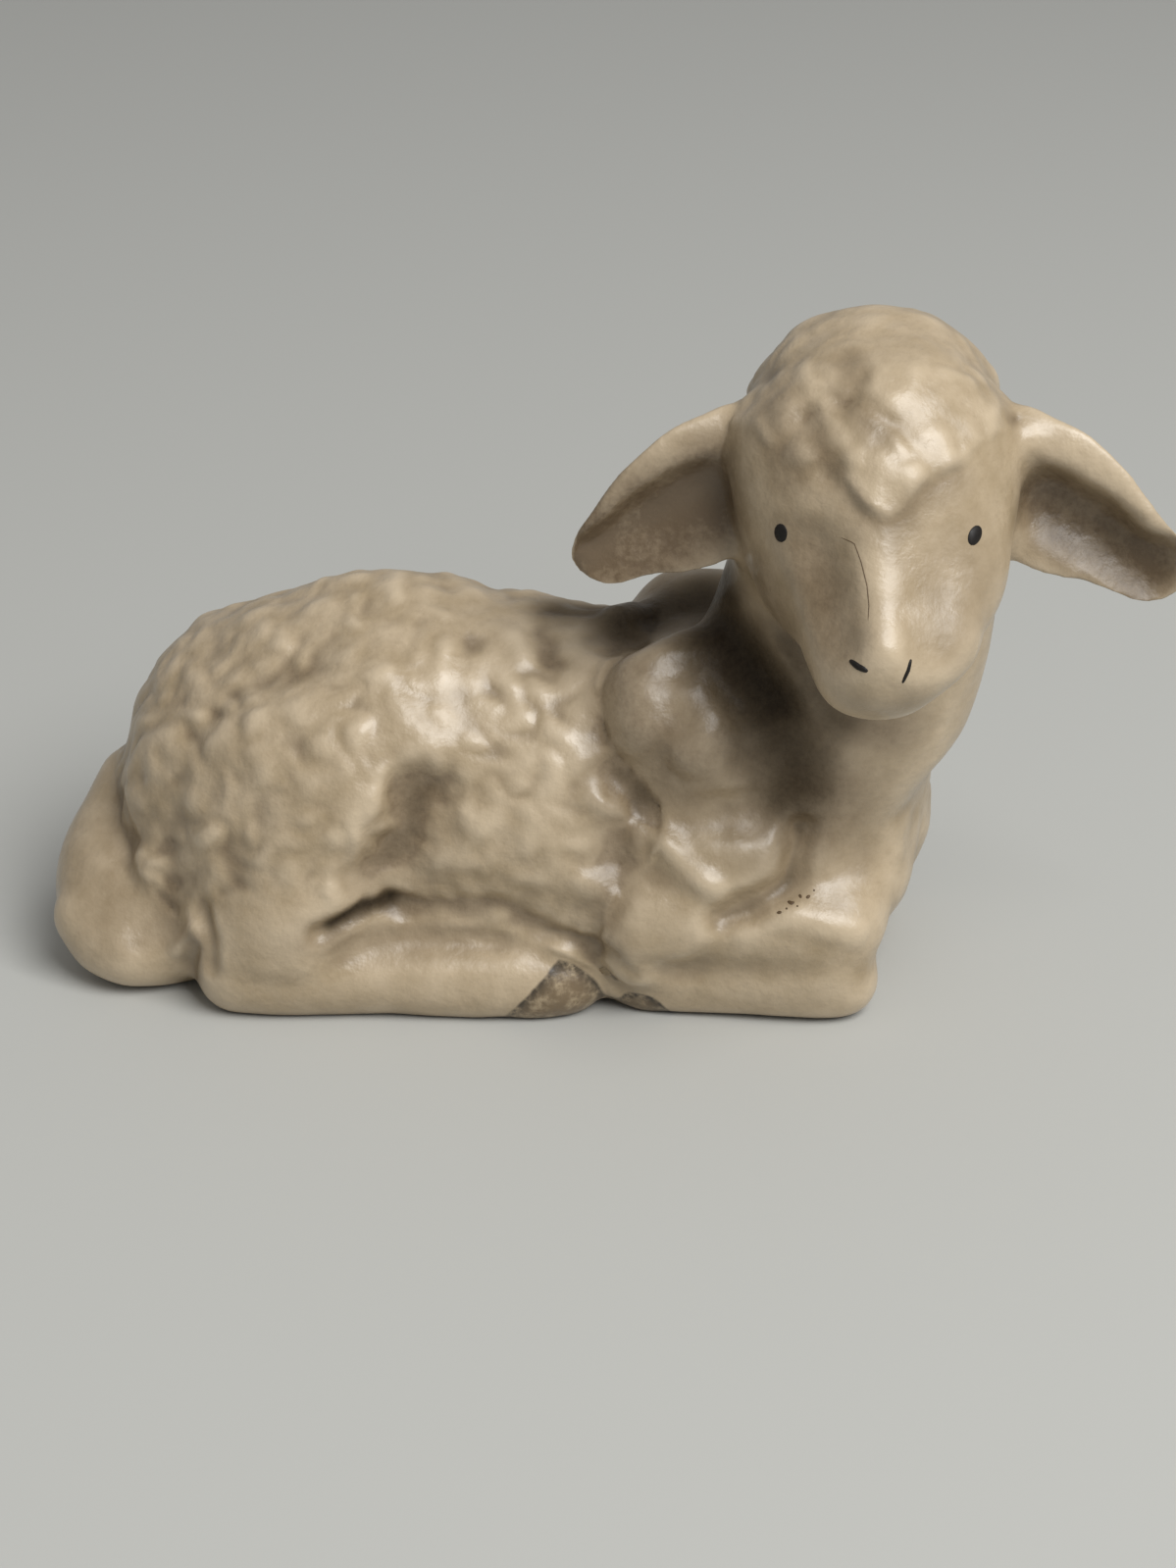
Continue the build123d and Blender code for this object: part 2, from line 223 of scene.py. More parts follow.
# Wool: heights and reaches in millimetres
LUMP_HEIGHT = 0.35
TUFT_HEIGHT = 0.5
TUFT_ROUNDS = 3
CURL_HEIGHT = 0.25
CURL_ROUNDS = 8
WOOL_SINK = 0.3
WARP_REACH = 1.4
WOOL_ROUNDS = 1
# Locks: sizes in millimetres, the way they fall, and the spans from which each is drawn
LOCK_SPACING = 2.2
LOCK_LENGTH = 3.6
LOCK_WIDTH = 1.3
LOCK_FALL = (-0.3, 0, -0.6)
LOCK_TURNS = (1.0, 2.6)
LOCK_SIZES = (0.7, 1.35)
LOCK_HEIGHTS = (0.4, 1)
LOCK_STEPS = 7
LOCK_END_GIRTH = 0.5
LOCK_MIDDLE_GIRTH = 0.7
LOCK_TAPER = (0.9, 0.1)
# Where the wool ends on the coat: gain and start over the hind legs, the underside and the coat's own edge
HOCK_ROUNDS = 60
HOCK_FADE = (-6, 1.1)
UNDERSIDE_FADE = (2, 1.6)
COAT_EDGE_ROUNDS = 4
COAT_EDGE = (2, -0.6)
# Faint swells of the skin, stronger on the trunk, none on the head
SWELL_HEIGHT = 0.1
TRUNK_SWELL = 0.35
TRUNK_ROUNDS = 20
HEAD_ROUNDS = 10
RIPPLE_SHARE = 0.35

# Edge of the wool on the crown, from the right ear over the forehead to the left ear
CROWN_EDGE_PX = (
    (745, 430), (770, 442), (795, 470), (840, 480), (862, 494), (885, 522),
    (903, 528), (918, 520), (941, 494), (984, 472), (1005, 455), (1045, 425),
)
# Where that edge is lowest, and how far to each side its rim stays thick
CROWN_PEAK_PX = 903
CROWN_PEAK_SPREAD_PX = 105
# The edge behind, as a share of the head's height, and how ragged the edge is, in millimetres
CROWN_BACK_SHARE = 0.45
CROWN_EDGE_RAGGED = 0.6
CROWN_BACK_RAGGED = 2.5
CROWN_FACING = (3, 0.5)
CROWN_EDGE_WIDTH = 0.9
CROWN_RIM_WIDTH = 4.5
CROWN_RIM_HEIGHT = 0.45
CROWN_RIM_LEAST = 0.25
# The wool is worn down towards the top of the head
BALD_REACH = 6
BALD_SHARE = 0.6

# Long paths of the brushwork, in pixels
CROWN_LINE_PX = ((840, 486), (862, 500), (885, 529), (903, 536), (920, 527), (942, 502), (975, 482))
CROWN_SHADOW_PX = ((800, 490), (850, 505), (880, 540), (905, 545), (940, 515), (980, 490))
COAT_HEM_PX = ((648, 830), (634, 852), (627, 875), (624, 905), (616, 930), (622, 965))
# Brushwork: field, width in millimetres, strength, if the far side has it, path in pixels
BRUSHWORK = {
    # Painted shade in the neck recess (partly dark glaze), under the jaw, behind the neck, in the groin and
    # under the left ear
    "upper neck recess": ("shade", 5.5, 0.95, False, ((728, 640), (758, 680), (785, 718))),
    "lower neck recess": ("shade", 4.5, 0.7, False, ((788, 730), (803, 775), (810, 805))),
    "under the jaw": ("shade", 3.2, 0.5, False, ((802, 655), (828, 705), (850, 732))),
    "rear withers": ("shade", 4.2, 0.75, False, ((580, 622), (605, 624), (630, 628))),
    "middle withers": ("shade", 4.8, 0.85, False, ((636, 630), (655, 626), (676, 620))),
    "front withers": ("shade", 4.8, 0.85, False, ((688, 616), (715, 610), (740, 604))),
    "groin recess": ("shade", 1.1, 0.9, True, ((402, 926), (370, 930), (340, 944))),
    "left ear shadow": ("shade", 3.8, 0.35, False, LEFT_EAR_UNDER_PX),
    "toe crest": ("bare", 1.1, 1.0, True, TOE_CREST_PX),
    "toe crease": ("bare", 1.8, 1.0, True, ((610, 972), (624, 986), (636, 1000))),
    # Darker and browner on the shank, tail, left cheek, crown curls and in the ear cups; painted shade
    # elsewhere:
    # in the haunch, flank and hem creases, at the tail tip, and on the right of the face, turned from the
    # light
    # under the crown's edge and the left ear, round the neck, throat and chin, on and behind the shoulder,
    "shank": ("wash_and_shade", 2.4, 0.45, True, ((315, 957), (370, 960), (430, 957), (480, 952))),
    "crown line": ("wash_and_shade", 1.4, 0.5, False, CROWN_LINE_PX),
    "crown shadow": ("wash_and_shade", 2.0, 0.3, False, CROWN_SHADOW_PX),
    "neck": ("wash_and_shade", 8.5, 0.75, False, ((745, 670), (795, 750), (820, 815))),
    "throat": ("wash_and_shade", 4.0, 0.6, False, ((805, 665), (838, 718), (875, 742), (915, 745))),
    "right ear cup": ("wash_and_shade", 7.0, 1.2, False, ((725, 505), (680, 528), (640, 550), (612, 562))),
    "left ear cup": ("wash_and_shade", 4.4, 1.0, False, ((1060, 505), (1106, 530), (1150, 562), (1175, 578))),
    "left ear underside": ("wash_and_shade", 3.8, 0.9, False, LEFT_EAR_UNDER_PX),
    "behind the shoulder": ("wash_and_shade", 3.4, 0.5, True, ((640, 640), (622, 700), (625, 790), (640, 850))),
    "shoulder": ("wash_and_shade", 6.0, 0.6, True, ((640, 680), (665, 740), (700, 790))),
    "haunch crease": ("wash_and_shade", 3.6, 0.42, True, ((430, 800), (420, 835), (404, 860), (378, 895))),
    "flank hollow": ("wash_and_shade", 3.6, 0.3, True, ((430, 850), (415, 900))),
    "coat hem": ("wash_and_shade", 2.8, 0.5, True, COAT_HEM_PX),
    "tail": ("wash_and_shade", 6.0, 0.3, False, ((130, 840), (110, 890), (120, 930))),
    "tail tip end": ("wash_and_shade", 2.0, 0.6, False, ((196, 960), (199, 972), (196, 990))),
    "tail tip hollow": ("wash_and_shade", 2.4, 0.4, False, TAIL_TIP_HOLLOW_PX),
    "left cheek": ("wash_and_shade", 6.0, 0.3, False, ((985, 585), (985, 630))),
    "right snout side": ("wash_and_shade", 4.4, 0.65, False, ((815, 560), (836, 610), (848, 650))),
    "right cheek": ("wash_and_shade", 4.0, 0.6, False, ((775, 585), (795, 630), (815, 660))),
    "right temple": ("wash_and_shade", 3.6, 0.5, False, ((790, 415), (800, 450), (808, 478))),
    "chin": ("wash_and_shade", 2.5, 0.35, False, ((846, 668), (860, 712), (892, 726), (925, 715))),
    "left curl": ("wash_and_shade", 2.0, 0.55, False, LEFT_CURL_PX),
    "upper curl": ("wash_and_shade", 2.0, 0.45, False, UPPER_CURL_PX),
    "middle curl": ("wash_and_shade", 2.0, 0.45, False, MIDDLE_CURL_PX),
    # Painted highlight: paler patches on the coat front, flank, breast and cannon, where light falls
    "coat front": ("crest", 6.5, 1.3, True, ((588, 670), (592, 730), (565, 785))),
    "flank": ("crest", 6.5, 1.3, True, ((505, 710), (540, 760), (535, 815))),
    "breast": ("crest", 7.0, 0.9, False, ((940, 730), (930, 790), (915, 850))),
    "cannon": ("crest", 4.0, 0.7, True, ((700, 1008), (770, 1012), (840, 1010))),
}
FIELDS = ("wash_and_shade", "shade", "crest", "hoof", "horn", "bare")

# Browner hollows, painted shade in deep creases, painted contact shadow at the ground, crests partly painted
# highlight
# Hollows, deep creases, the ground and crests: rounds over which a hollow is measured, and depths in
# millimetres
HOLLOW_ROUNDS = 100
HOLLOW_DEPTH = 0.17
HOLLOW_SHARE = 0.35
DEEP_ROUNDS = 300
DEEP_DEPTH = 0.8
DEEP_START = 0.6
DEEP_MOST = 0.6
EAR_ROUNDS = 30
CONTACT_SHADOW_REACH = 0.8
CONTACT_SHADOW_SHARE = 0.7
CREST_ROUNDS = 60
CREST_DEPTH = 0.16
CREST_START = 0.3
CREST_BRUSH = 0.5
# Dark glaze: how high it reaches on the fore hooves and how soft it ends, in millimetres
FORE_HOOF_TOP = 2.2
FORE_HOOF_EDGE = 0.5
BARE_GAIN = 1.8
HOOF_ROUNDS = 4
HORN_ROUNDS = 40

# Marks of black glaze: half width in pixels, how sharply the ends taper, path in pixels
MARK_STROKES = {
    "right_eye": (7.6, 0.5, ((795, 534), (797, 553))),
    "left_eye": (7.6, 0.5, ((998, 536), (990, 556))),
    "right_nostril": (3.8, 0.4, ((866, 673), (875, 680), (885, 685))),
    "left_nostril": (2.2, 0.3, ((929, 672), (926, 684), (920, 697))),
}
# Faults in the glaze: the casting, then as for the marks
CRACK_PX = ((857, 548), (871, 554), (878, 573), (884, 597), (886, 617), (885, 634))
FAULT_STROKES = {
    "hairline_crack": ("head", 0.65, 0.2, CRACK_PX),
    "pinhole_1": ("right_foreleg", 1.9, 0.5, ((792, 931), (797, 930))),
    "pinhole_2": ("right_foreleg", 1.3, 0.5, ((801, 927), (803, 926))),
    "pinhole_3": ("right_foreleg", 2.2, 0.5, ((803, 919), (807, 921), (810, 920))),
    "pinhole_4": ("right_foreleg", 1.2, 0.5, ((812, 924), (814, 924))),
    "pinhole_5": ("right_foreleg", 1.8, 0.5, ((815, 912), (817, 916))),
    "pinhole_6": ("right_foreleg", 2.0, 0.5, ((822, 916), (826, 913))),
    "pinhole_7": ("right_foreleg", 1.3, 0.5, ((829, 908), (831, 908))),
}
MARK_STEPS = 25
MARK_PROFILE = (-1, -0.75, -0.4, 0, 0.4, 0.75, 1)
MARK_THICKNESS = 0.14 * MM
MARK_FULL_PX = 4
MARK_DOME = 1.3
MARK_WELD = 0.002 * MM

# Glaze colours
# Paler cream on raised crests and lit patches, partly painted highlight
CREAM_CREST_HIGHLIGHT = (0.60, 0.49, 0.345)
CREAM_PALE = (0.45, 0.355, 0.235)
CREAM_WARM = (0.34, 0.258, 0.155)
CREAM_DEEP = (0.24, 0.172, 0.10)
# Brown of the darker hollows and strokes, and of painted shade in creases, under the head and at the ground
WASH_AND_SHADE_BROWN = (0.125, 0.084, 0.045)
# Near black of painted shade in recesses and deep creases, partly dark glaze in the neck recess
SHADE_DARK = (0.018, 0.012, 0.007)
HORN_DARK = (0.045, 0.032, 0.018)
HORN_BROWN = (0.175, 0.122, 0.066)
# Pale streaks on the hooves, partly painted highlight
HORN_STREAK_HIGHLIGHT = (0.36, 0.28, 0.175)
MARK_BLACK = (0.008, 0.007, 0.006)
MARK_BROWN = (0.013, 0.010, 0.008)
CRACK_DARK = (0.09, 0.058, 0.03)
CRACK_BROWN = (0.15, 0.10, 0.058)
# Glaze textures: size in millimetres, detail, roughness
BLOTCHES = (3.0, 4, 0.55)
SPECKS = (0.45, 3, 0.7)
HORN_STREAKS = (1.2, 3, 0.55)
GLOSS = (1.6, 3, 0.55)
UNEVENNESS = (1.3, 3, 0.55)
BRUSH_STREAKS = (0.35, 3, 0.55)
GRAIN_DEPTH = 0.025 * MM
UNEVEN_DEPTH = 0.12 * MM
BRUSH_DEPTH = 0.015 * MM
COAT_ROUGHNESS = 0.28
BRUSH_SPECULAR = 0.25
# Spans of a texture or a paint field, and the spans that they are turned into
SPANS = {
    "warm blotches": (0.35, 0.68, 0, 1),
    "deep specks": (0.5, 0.85, 0, 0.35),
    "bright crests": (0, 1, 0, 0.55),
    "blotchy wash": (0.25, 0.7, 0.7, 1.1),
    "specked wash": (0.2, 0.8, 1.25, 0.75),
    "specked shade": (0.2, 0.8, 1.06, 0.94),
    "hoof edge": (0.35, 0.65, 0, 1),
    "horn middle": (0.55, 1.0, 0, 1),
    "horn streaks": (0.42, 0.62, 0, 1),
    "horn specks": (0.35, 0.65, 0, 1),
    "roughness": (0.3, 0.7, 0.3, 0.5),
    "specular in shade": (0, 0.8, 0.5, 0.1),
    "coat in shade": (0, 0.6, 0.28, 0),
    "brush streaks": (0.35, 0.75, 0, 1),
    "brush roughness": (0.3, 0.7, 0.4, 0.6),
}

# Floor and light
FLOOR_HALF = 2.0
FLOOR_GREY = (0.48, 0.482, 0.455)
FLOOR_ROUGHNESS = 0.7
KEY_PLACE = (0.34, -0.3, 0.52)
KEY_SIZE = 0.45
KEY_POWER = 5.0
SKY_STRENGTH = 0.32


def view_axes():
    """The photograph's right, up and backward directions."""
    level, rise = math.cos(VIEW_ELEVATION), math.sin(VIEW_ELEVATION)
    back = Vector((math.sin(VIEW_AZIMUTH) * level, -math.cos(VIEW_AZIMUTH) * level, rise))
    right = Vector((math.cos(VIEW_AZIMUTH), math.sin(VIEW_AZIMUTH), 0))
    return right, back.cross(right), back


def view_point():
    """Where the photograph was taken from, so that the aim point falls on its pixel."""
    right, up, back = view_axes()
    aside = (IMAGE_WIDTH / 2 - AIM_PX[0]) / FOCAL_PX
    above = (AIM_PX[1] - IMAGE_HEIGHT / 2) / FOCAL_PX
    return AIM_POINT + (back + right * aside + up * above) * VIEW_DISTANCE


def pixel_ray(pixel):
    """The direction from the camera through a pixel of the photograph."""
    right, up, back = view_axes()
    aside = (pixel[0] - IMAGE_WIDTH / 2) / FOCAL_PX
    above = (IMAGE_HEIGHT / 2 - pixel[1]) / FOCAL_PX
    return (right * aside + up * above - back).normalized()


def pixels_of(points):
    """The pixels on which points of the frame fall in the photograph."""
    right, up, back = (np.array(axis) for axis in view_axes())
    offset = points - np.array(view_point())
    depth = -(offset @ back)
    x = IMAGE_WIDTH / 2 + FOCAL_PX * (offset @ right) / depth
    y = IMAGE_HEIGHT / 2 - FOCAL_PX * (offset @ up) / depth
    return x, y


def ramp(values, gain, start=0):
    """A straight rise or fall with the values, kept from 0 to 1."""
    return np.clip(values * gain + start, 0, 1)


def falloff(gap, width):
    """1 where the gap is 0, falling to 0 where it is the width."""
    return np.clip(1 - (gap / width) ** 2, 0, None)


def path_reach(path):
    """How far along a path each of its corners lies."""
    return np.concatenate(([0], np.cumsum(norm(np.diff(path, axis=0), axis=1))))


def along_path(path, reach, steps):
    """The places on a path at some steps of its reach."""
    return np.array([np.interp(steps, reach, axis) for axis in path.T]).T


def both(name):
    """The names of a pair of castings."""
    return f"right_{name}", f"left_{name}"


def pour_hole_plug():
    """A disc that closes the inner end of the pour hole, so that the skin has no inside."""
    openings = {opening["name"]: opening for opening in frame["record"]["physics"]["openings"]}
    (x0, y0, _), (x1, y1, _) = openings["pour_hole"]["box_m"]
    (_, _, floor), (_, _, ceiling) = openings["casting_hollow"]["box_m"]
    wide, thick = x1 - x0, (ceiling - floor) / 4
    plug = bmesh.new()
    bmesh.ops.create_cone(plug, cap_ends=True, segments=PLUG_SIDES, radius1=wide, radius2=wide, depth=thick)
    bmesh.ops.translate(plug, verts=plug.verts, vec=((x0 + x1) / 2, (y0 + y1) / 2, floor))
    return plug


def add_pads(joined):
    """Lays the pads of clay along their paths, each a row of balls let into the castings."""
    tree, _ = casting_tree()
    towards = np.array(view_axes()[2])
    for radius, proud, both_sides, pixels in PADS.values():
        path, _ = on_skin(tree, pixels)
        path += towards * (proud - radius) * MM
        reach = path_reach(path)
        balls = int(reach[-1] / (radius * MM * PAD_STEP)) + 2
        for place in along_path(path, reach, np.linspace(0, reach[-1], balls)):
            for flip in (1, -1) if both_sides else (1,):
                ball = bmesh.ops.create_icosphere(joined, subdivisions=PAD_FINENESS, radius=radius * MM)
                bmesh.ops.translate(joined, verts=ball["verts"], vec=place * (1, flip, 1))


def castings_mesh():
    """All castings in one mesh, each swollen a little so that neighbours run into each other."""
    joined = pour_hole_plug()
    add_pads(joined)
    for name in frame["nodes"]:
        single = bmesh.new()
        single.from_mesh(frame["nodes"][name].data)
        bmesh.ops.remove_doubles(single, verts=single.verts, dist=WELD)
        single.normal_update()
        for vert in single.verts:
            vert.co += vert.normal * LUTING
        swollen = bpy.data.meshes.new(name)
        single.to_mesh(swollen)
        single.free()
        joined.from_mesh(swollen)
        bpy.data.meshes.remove(swollen)
    mesh = bpy.data.meshes.new("castings")
    joined.to_mesh(mesh)
    joined.free()
    return mesh


def remeshed(mesh, grid):
    """The mesh as one skin of small quads."""
    holder = bpy.data.objects.new("skin", mesh)
    scene.collection.objects.link(holder)
    remesh = holder.modifiers.new("skin", "REMESH")
    remesh.mode = "VOXEL"
    remesh.voxel_size = grid
    graph = bpy.context.evaluated_depsgraph_get()
    skin = bpy.data.meshes.new_from_object(holder.evaluated_get(graph))
    bpy.data.objects.remove(holder)
    return skin


def read(items, field, width, kind=float):
    """A field of a mesh's vertices, edges or loops as an array."""
    values = np.empty(len(items) * width, np.float32 if kind is float else np.int32)
    items.foreach_get(field, values)
    return values.reshape(-1, width).astype(kind)


class Skin:
    """The skin's points, quads and edges as arrays, the casting of each quad, and the ways to model it."""

    def __init__(self, mesh):
        self.points = read(mesh.vertices, "co", 3)
        self.quads = read(mesh.loops, "vertex_index", 1, int).reshape(-1, 4)
        self.edges = read(mesh.edges, "vertices", 2, int)
        self.degree = np.bincount(self.edges.ravel(), minlength=len(self.points))
        self.labels = np.zeros(len(self.quads), int)
        self.refresh()

    def refresh(self):
        """Works out the normals anew after the points have moved."""
        corners = self.points[self.quads]
        facing = np.cross(corners[:, 2] - corners[:, 0], corners[:, 3] - corners[:, 1])
        self.normals = np.zeros_like(self.points)
        for corner in range(4):
            for axis in range(3):
                self.normals[:, axis] += np.bincount(
                    self.quads[:, corner], weights=facing[:, axis], minlength=len(self.points)
                )
        self.normals /= norm(self.normals, axis=1, keepdims=True)

    def neighbours(self, values):
        """The mean of each point's neighbours."""
        columns = values.reshape(len(self.points), -1)
        total = np.empty_like(columns)
        a, b = self.edges.T
        for n in range(columns.shape[1]):
            total[:, n] = np.bincount(a, weights=columns[b, n], minlength=len(columns))
            total[:, n] += np.bincount(b, weights=columns[a, n], minlength=len(columns))
        return (total / self.degree[:, None]).reshape(values.shape)

    def blurred(self, values, rounds):
        """A field evened out over its neighbourhood."""
        for _ in range(rounds):
            values = (values + self.neighbours(values)) / 2
        return values

    def relax(self, rounds, share=1.0):
        """Wipes the skin smooth, by a share that may differ from point to point."""
        share = np.broadcast_to(share, len(self.points))[:, None] / 2
        for _ in range(rounds):
            self.points += (self.neighbours(self.points) - self.points) * share
        self.refresh()

    def lift(self, height):
        """Moves the skin out along its normals."""
        self.points += self.normals * height[:, None]
        self.refresh()

    def on(self, rounds, *names):
        """1 on some castings and 0 elsewhere, evened out over some rounds."""
        field = np.zeros(len(self.points))
        field[self.quads[np.isin(self.labels, [CASTINGS.index(name) for name in names])].ravel()] = 1
        return self.blurred(field, rounds)

    def tree(self):
        """A search tree over the skin's faces."""
        return BVHTree.FromPolygons(self.points.tolist(), self.quads.tolist())


def casting_tree():
    """A search tree over all castings, and the casting that owns each of its triangles."""
    corners, triangles, owners = [], [], []
    for number, name in enumerate(CASTINGS):
        members = MARKS + ("head",) if name == "head" else (name,)
        for member in members:
            mesh = frame["nodes"][member].data
            first = len(corners)
            corners.extend(vert.co for vert in mesh.vertices)
            triangles.extend([first + index for index in face.vertices] for face in mesh.polygons)
            owners.extend([number] * len(mesh.polygons))
    return BVHTree.FromPolygons(corners, triangles), np.array(owners)


def nearest_castings(places):
    """The number of the casting nearest to each place."""
    tree, owners = casting_tree()
    return owners[[tree.find_nearest(Vector(place))[2] for place in places.tolist()]]


def settled(skin, labels, rounds):
    """Labels after each quad has taken the commonest label around it, so that no crumbs are left."""
    for _ in range(rounds):
        votes = np.zeros((len(skin.points), len(CASTINGS)))
        for corner in range(4):
            np.add.at(votes, (skin.quads[:, corner], labels), 1)
        labels = votes[skin.quads].sum(axis=1).argmax(axis=1)
    return labels


def seam_edges(skin):
    """The edges between quads of two castings, and the two castings at each."""
    sides = np.concatenate([skin.quads[:, [n, (n + 1) % 4]] for n in range(4)])
    sides.sort(axis=1)
    owner = np.tile(skin.labels, 4)
    order = np.lexsort((sides[:, 1], sides[:, 0]))
    sides, owner = sides[order], owner[order]
    twin = np.flatnonzero((sides[1:] == sides[:-1]).all(axis=1))
    twin = twin[owner[twin] != owner[twin + 1]]
    return sides[twin], owner[twin], owner[twin + 1]


def straighten_seams(skin, edges, rounds):
    """Evens out the stepped seams between the pieces, along the skin."""
    a, b = edges.T
    degree = np.bincount(edges.ravel(), minlength=len(skin.points))
    seam = np.flatnonzero(degree)
    for _ in range(rounds):
        total = np.zeros_like(skin.points)
        np.add.at(total, a, skin.points[b])
        np.add.at(total, b, skin.points[a])
        step = (total[seam] / degree[seam, None] - skin.points[seam]) / 2
        normal = skin.normals[seam]
        skin.points[seam] += step - normal * (step * normal).sum(axis=1, keepdims=True)
    skin.refresh()


def joint_field(skin):
    """How far the skin is wiped at each point: by the softness of the joint, fading away from it."""
    softness = np.full((len(CASTINGS), len(CASTINGS)), JOINT_SOFTNESS["any"])
    for pair, value in JOINT_SOFTNESS.items():
        if pair != "any":
            a, b = (CASTINGS.index(name) for name in pair.split())
            softness[a, b] = softness[b, a] = value
    edges, side_a, side_b = seam_edges(skin)
    joints = np.zeros(len(skin.points))
    for end in edges.T:
        np.maximum.at(joints, end, softness[side_a, side_b])
    field = ramp(skin.blurred(joints, JOINT_ROUNDS), JOINT_GAIN) / JOINT_EASE
    for name, value in CASTING_SOFTNESS.items():
        field = np.maximum(field, skin.on(CASTING_ROUNDS, name) * value)
    return field


def path_distance(points, path):
    """How far each point lies from a path, and the share of the path at its nearest place."""
    best = np.full(len(points), np.inf)
    share = np.zeros(len(points))
    legs = len(path) - 1
    for n, (start, end) in enumerate(zip(path[:-1], path[1:])):
        way = end - start
        along = np.clip((points - start) @ way / (way @ way), 0, 1)
        gap = norm(points - start - along[:, None] * way, axis=1)
        nearer = gap < best
        best[nearer] = gap[nearer]
        share[nearer] = (n + along[nearer]) / legs
    return best, share


def on_skin(tree, pixels):
    """The places on the skin that pixels show, and the way that the skin faces there on the whole."""
    hits = [tree.ray_cast(view_point(), pixel_ray(pixel)) for pixel in pixels]
    missed = [pixel for pixel, hit in zip(pixels, hits) if hit[0] is None]
    if missed:
        raise ValueError(f"these pixels miss the lamb: {missed}")
    facing = sum((hit[1] for hit in hits), Vector()).normalized()
    return np.array([hit[0] for hit in hits]), np.array(facing)


def stroke(skin, tree, pixels, width, both_sides):
    """A soft field along a path of pixels: 1 on the path, 0 at its width, on the skin that faces that way."""
    path, facing = on_skin(tree, pixels)
    field = np.zeros(len(skin.points))
    for flip in (1, -1) if both_sides else (1,):
        mirror = np.array((1, flip, 1))
        away = norm(skin.points - (path * mirror).mean(axis=0), axis=1)
        reach = norm(path - path.mean(axis=0), axis=1).max() + width
        near = np.flatnonzero(away < reach)
        gap, _ = path_distance(skin.points[near], path * mirror)
        soft = falloff(gap, width) ** 2 * ramp(skin.normals[near] @ (facing * mirror), *STROKE_FACING)
        field[near] = np.maximum(field[near], soft)
    return field


def pull(skin, tree, casting, reach, held, goal):
    """Pulls a casting about, from where one pixel shows it to where another pixel does."""
    place, _ = on_skin(tree, [held])
    eye, back = np.array(view_point()), np.array(view_axes()[2])
    ray = np.array(pixel_ray(goal))
    depth = (place[0] - eye) @ back / (ray @ back)
    gap = norm(skin.points - place[0], axis=1)
    share = falloff(gap, reach) ** 2 * casting
    skin.points += share[:, None] * (eye + ray * depth - place[0])


def cavity(skin, rounds):
    """How far each point lies below the skin around it."""
    return ((skin.blurred(skin.points, rounds) - skin.points) * skin.normals).sum(axis=1)


def noise_field(points, size, seed):
    """Smooth noise of about -1 to 1 with lumps of a size in millimetres."""
    span = size * MM
    shift = Vector([seed * step for step in NOISE_SHIFT])
    return np.array([noise.noise(Vector(place) / span + shift) for place in points.tolist()])


def spaced_seeds(skin, region, spacing, rng):
    """Points of a region in random order, none nearer to another than the spacing."""
    seeds = []
    taken = np.empty((0, 3))
    for index in rng.permutation(np.flatnonzero(region > 0.5)):
        place = skin.points[index]
        if len(taken) == 0 or ((taken - place) ** 2).sum(axis=1).min() > spacing**2:
            seeds.append(index)
            taken = np.vstack((taken, place))
    return seeds


def wool_locks(skin, region, rng):
    """Height from 0 to 1 of short curled locks over a region, each a tapering ridge along an arc."""
    length, width = LOCK_LENGTH * MM, LOCK_WIDTH * MM
    height = np.zeros(len(skin.points))
    for index in spaced_seeds(skin, region, LOCK_SPACING * MM, rng):
        place, normal = skin.points[index], skin.normals[index]
        way = rng.normal(size=3) + LOCK_FALL
        way -= normal * (way @ normal)
        way /= norm(way)
        aside = np.cross(normal, way)
        turn = rng.choice((-1, 1)) * rng.uniform(*LOCK_TURNS)
        size = rng.uniform(*LOCK_SIZES)
        reach = length * size
        away = ((skin.points - place) ** 2).sum(axis=1)
        near = np.flatnonzero(away < (reach / 2 + width * 2) ** 2)
        steps = np.linspace(-0.5, 0.5, LOCK_STEPS) * turn
        bend = reach / turn
        path = place + np.outer(np.sin(steps) * bend, way) + np.outer((1 - np.cos(steps)) * bend, aside)
        gap, share = path_distance(skin.points[near], path)
        swell = np.sin(np.pi * ramp(share, *LOCK_TAPER))
        girth = width * size * (LOCK_END_GIRTH + LOCK_MIDDLE_GIRTH * swell)
        lock = falloff(gap, girth) * rng.uniform(*LOCK_HEIGHTS)
        height[near] = np.maximum(height[near], lock)
    return height


def crown_region(skin):
    """1 where wool covers the crown, above the edge that the photograph shows, and 1 along that edge."""
    head = skin.on(0, "head")
    x, y = pixels_of(skin.points)
    edge_x, edge_y = np.array(CROWN_EDGE_PX).T
    above = (np.interp(x, edge_x, edge_y) - y) * VIEW_DISTANCE / FOCAL_PX
    low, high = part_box("head")
    behind = skin.points[:, 2] - (low.z + (high.z - low.z) * CROWN_BACK_SHARE)
    facing = ramp(skin.normals @ np.array(view_axes()[2]), *CROWN_FACING)
    ragged = noise_field(skin.points, *CROWN_EDGE_NOISE) * CROWN_EDGE_RAGGED
    ragged += noise_field(skin.points, *CROWN_BACK_NOISE) * CROWN_BACK_RAGGED * (1 - facing)
    rise = above * facing + behind * (1 - facing) + ragged * MM
    region = head * ramp(rise / (CROWN_EDGE_WIDTH * MM), 1, 0.5)
    middle = np.exp(-(((x - CROWN_PEAK_PX) / CROWN_PEAK_SPREAD_PX) ** 2))
    thick = CROWN_RIM_LEAST + (1 - CROWN_RIM_LEAST) * middle
    return region, region * ramp(rise / (CROWN_RIM_WIDTH * MM), -1, 1) * thick


